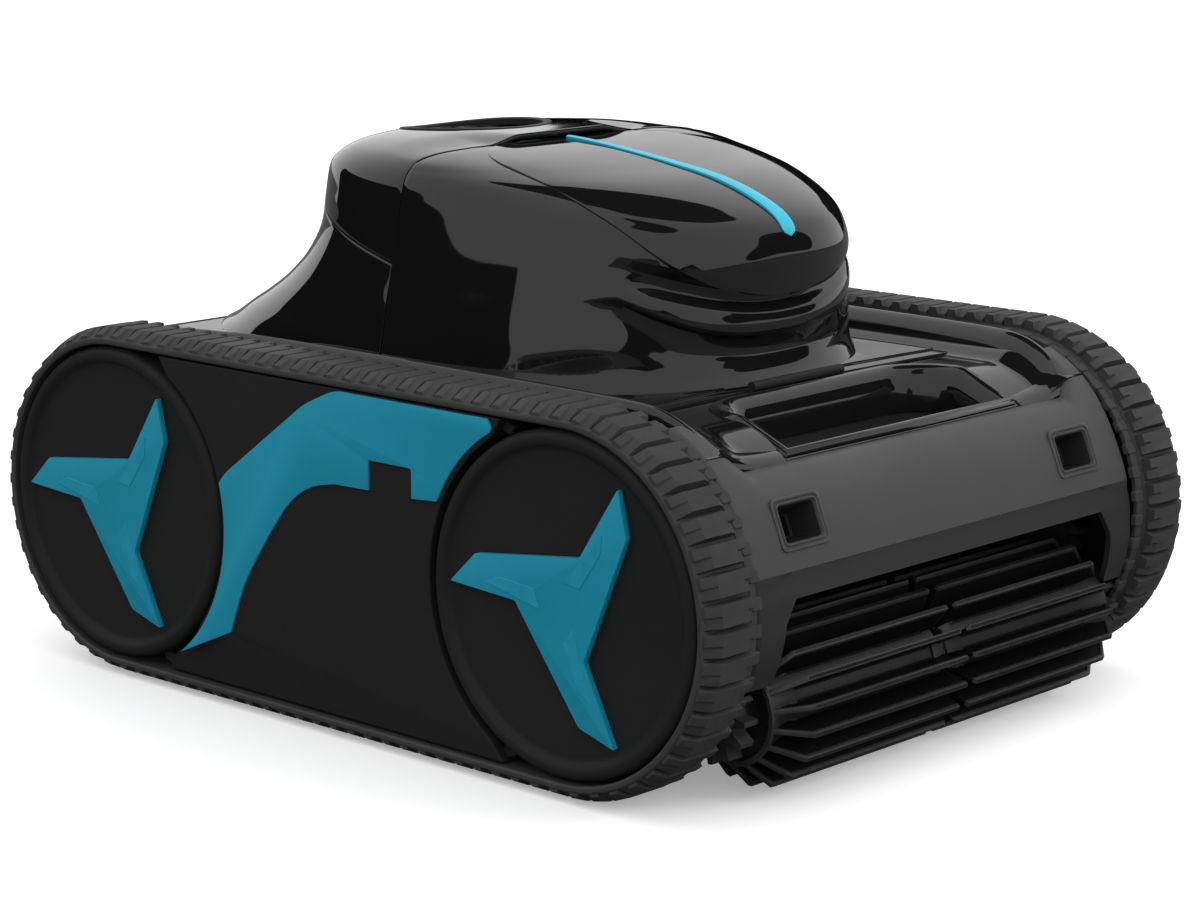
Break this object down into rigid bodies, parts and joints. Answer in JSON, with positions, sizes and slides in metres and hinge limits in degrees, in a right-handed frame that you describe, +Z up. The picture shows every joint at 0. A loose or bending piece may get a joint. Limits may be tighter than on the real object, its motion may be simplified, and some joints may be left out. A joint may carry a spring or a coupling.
{
  "type": "robotic pool cleaner",
  "caption": "Low tracked pool floor cleaner with four driven wheels in belt loops, a split finned roller brush and a hinged helmet-shaped hood over the filter.",
  "frame": {"origin": "on the floor under the centre of the machine", "axes": "+Y to the rear along the tracks, -Y ahead where the brush is, +X to the machine's left, +Z up"},
  "size_m": [0.328, 0.435, 0.2425],
  "materials": {
    "rubber": "moulded, matt",
    "matte_black": "fine grain",
    "gloss_black": "high gloss",
    "satin_grey": "satin",
    "teal": "satin",
    "cyan": "gloss light guide",
    "gear": "acetal",
    "steel": "bright",
    "battery": "shrink sleeve",
    "board": "solder mask",
    "mesh": "fine mesh in a frame"
  },
  "bodies": {
    "hull": {"track_belt_left": "rubber", "side_frame_left": "matte_black", "side_panel_left": "matte_black", "side_accent_left": "teal", "vent_frame_left": "matte_black", "drive_motor_left": "steel", "track_belt_right": "rubber", "side_frame_right": "matte_black", "side_panel_right": "matte_black", "side_accent_right": "teal", "vent_frame_right": "matte_black", "drive_motor_right": "steel", "axle_front": "steel", "axle_rear": "steel", "brush_shaft": "steel", "chassis_tub": "matte_black", "inlet_lip": "rubber", "dry_bay_cover": "matte_black", "deck_cover": "gloss_black", "front_bumper": "satin_grey", "rear_bumper": "satin_grey", "charge_socket": "matte_black", "lid_hinge_pin": "steel", "rear_cap": "gloss_black", "rear_skirt": "gloss_black", "outlet_grille": "matte_black", "outlet_duct": "matte_black", "pump_motor": "matte_black", "battery_pack": "battery", "control_board": "board"},
    "front_wheel_left": {"wheel_front_left": "matte_black", "wheel_star_front_left": "teal", "drive_gear_front_left": "gear"},
    "rear_wheel_left": {"wheel_rear_left": "matte_black", "wheel_star_rear_left": "teal", "drive_gear_rear_left": "gear"},
    "brush_half_left": {"brush_left": "rubber", "brush_pinion_left": "gear"},
    "motor_pinion_left": {"motor_pinion_left": "steel"},
    "front_wheel_right": {"wheel_front_right": "matte_black", "wheel_star_front_right": "teal", "drive_gear_front_right": "gear"},
    "rear_wheel_right": {"wheel_rear_right": "matte_black", "wheel_star_rear_right": "teal", "drive_gear_rear_right": "gear"},
    "brush_half_right": {"brush_right": "rubber", "brush_pinion_right": "gear"},
    "motor_pinion_right": {"motor_pinion_right": "steel"},
    "lid": {"lid": "gloss_black", "light_strip": "cyan"},
    "lid_latch": {"lid_latch": "matte_black"},
    "side_latch_left": {"side_latch_left": "matte_black"},
    "side_latch_right": {"side_latch_right": "matte_black"},
    "power_button": {"power_button": "teal"},
    "charge_port_cap": {"charge_port_cap": "rubber"},
    "impeller": {"impeller": "gear"},
    "filter_basket": {"filter_basket": "mesh"},
    "basket_handle": {"basket_handle": "teal"},
    "inlet_flap_left": {"inlet_flap_left": "rubber"},
    "inlet_flap_right": {"inlet_flap_right": "rubber"}
  },
  "joints": [
    {"name": "front_wheel_left_spin", "type": "hinge", "parent": "hull", "child": "front_wheel_left", "pos_m": [0.142, -0.136, 0.079], "axis": [1, 0, 0], "continuous": true},
    {"name": "rear_wheel_left_spin", "type": "hinge", "parent": "hull", "child": "rear_wheel_left", "pos_m": [0.142, 0.136, 0.079], "axis": [1, 0, 0], "continuous": true},
    {"name": "brush_left_spin", "type": "hinge", "parent": "hull", "child": "brush_half_left", "pos_m": [0.06, -0.184, 0.036], "axis": [1, 0, 0], "continuous": true},
    {"name": "motor_pinion_left_spin", "type": "hinge", "parent": "hull", "child": "motor_pinion_left", "pos_m": [0.125, 0.07545, 0.05696], "axis": [1, 0, 0], "continuous": true},
    {"name": "front_wheel_right_spin", "type": "hinge", "parent": "hull", "child": "front_wheel_right", "pos_m": [-0.142, -0.136, 0.079], "axis": [1, 0, 0], "continuous": true},
    {"name": "rear_wheel_right_spin", "type": "hinge", "parent": "hull", "child": "rear_wheel_right", "pos_m": [-0.142, 0.136, 0.079], "axis": [1, 0, 0], "continuous": true},
    {"name": "brush_right_spin", "type": "hinge", "parent": "hull", "child": "brush_half_right", "pos_m": [-0.06, -0.184, 0.036], "axis": [1, 0, 0], "continuous": true},
    {"name": "motor_pinion_right_spin", "type": "hinge", "parent": "hull", "child": "motor_pinion_right", "pos_m": [-0.125, 0.07545, 0.05696], "axis": [1, 0, 0], "continuous": true},
    {"name": "lid_hinge", "type": "hinge", "parent": "hull", "child": "lid", "pos_m": [0, -0.1214, 0.1466], "axis": [1, 0, 0], "range_deg": [0, 60]},
    {"name": "lid_latch_slide", "type": "slide", "parent": "hull", "child": "lid_latch", "axis": [0, 1, 0], "range_m": [0, 0.003], "stiffness_N_per_m": 300, "springref_m": -0.002},
    {"name": "side_latch_left_press", "type": "slide", "parent": "hull", "child": "side_latch_left", "axis": [-1, 0, 0], "range_m": [0, 0.002], "stiffness_N_per_m": 500, "springref_m": -0.002},
    {"name": "side_latch_right_press", "type": "slide", "parent": "hull", "child": "side_latch_right", "axis": [1, 0, 0], "range_m": [0, 0.002], "stiffness_N_per_m": 500, "springref_m": -0.002},
    {"name": "power_button_press", "type": "slide", "parent": "hull", "child": "power_button", "axis": [0, -1, 0], "range_m": [0, 0.002], "stiffness_N_per_m": 500, "springref_m": -0.002},
    {"name": "charge_port_cap_hinge", "type": "hinge", "parent": "hull", "child": "charge_port_cap", "pos_m": [0.05, 0.2173, 0.0746], "axis": [-1, 0, 0], "range_deg": [0, 100]},
    {"name": "impeller_spin", "type": "hinge", "parent": "hull", "child": "impeller", "pos_m": [0, 0.07, 0.2065], "axis": [0, 0, 1], "continuous": true},
    {"name": "basket_lift", "type": "slide", "parent": "hull", "child": "filter_basket", "axis": [0, 0, 1], "range_m": [0, 0.06]},
    {"name": "basket_handle_fold", "type": "hinge", "parent": "filter_basket", "child": "basket_handle", "pos_m": [0, -0.037, 0.124], "axis": [1, 0, 0], "range_deg": [0, 85]},
    {"name": "inlet_flap_left_hinge", "type": "hinge", "parent": "filter_basket", "child": "inlet_flap_left", "pos_m": [0.036, -0.07, 0.0203], "axis": [1, 0, 0], "range_deg": [0, 65]},
    {"name": "inlet_flap_right_hinge", "type": "hinge", "parent": "filter_basket", "child": "inlet_flap_right", "pos_m": [-0.036, -0.07, 0.0203], "axis": [1, 0, 0], "range_deg": [0, 65]}
  ],
  "couplings": [
    {"joint": "rear_wheel_left_spin", "follows": "front_wheel_left_spin", "ratio": 1},
    {"joint": "brush_left_spin", "follows": "front_wheel_left_spin", "ratio": -3},
    {"joint": "motor_pinion_left_spin", "follows": "front_wheel_left_spin", "ratio": -3},
    {"joint": "rear_wheel_right_spin", "follows": "front_wheel_right_spin", "ratio": 1},
    {"joint": "brush_right_spin", "follows": "front_wheel_right_spin", "ratio": -3},
    {"joint": "motor_pinion_right_spin", "follows": "front_wheel_right_spin", "ratio": -3}
  ]
}
